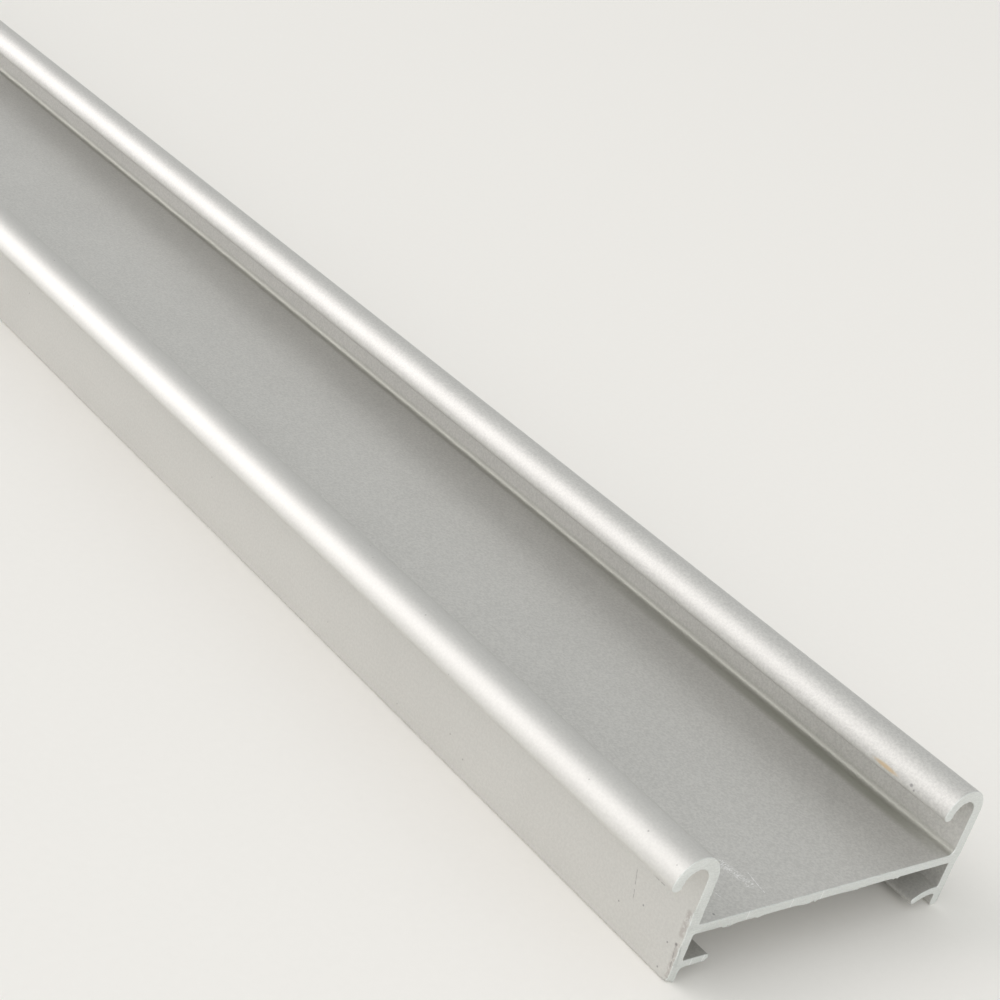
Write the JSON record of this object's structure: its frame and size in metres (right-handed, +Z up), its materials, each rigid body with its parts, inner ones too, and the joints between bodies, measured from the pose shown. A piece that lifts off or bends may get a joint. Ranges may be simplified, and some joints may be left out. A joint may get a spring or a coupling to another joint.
{
  "type": "aluminium extrusion profile",
  "caption": "Long straight aluminium extrusion: flat web between two upright flanges with half-round hooks above and lipped legs below.",
  "frame": {"origin": "centre of the profile's footprint, on the plane of its two feet", "axes": "+Y along the stock, +Z up from the feet to the hooks, +X across the web; both hooks curl towards -X"},
  "size_m": [0.06, 1, 0.0197],
  "materials": {
    "aluminium": "satin silver anodised, with fine die lines along the length and bare sawn ends"
  },
  "bodies": {
    "root": {"profile": "aluminium"}
  },
  "joints": []
}
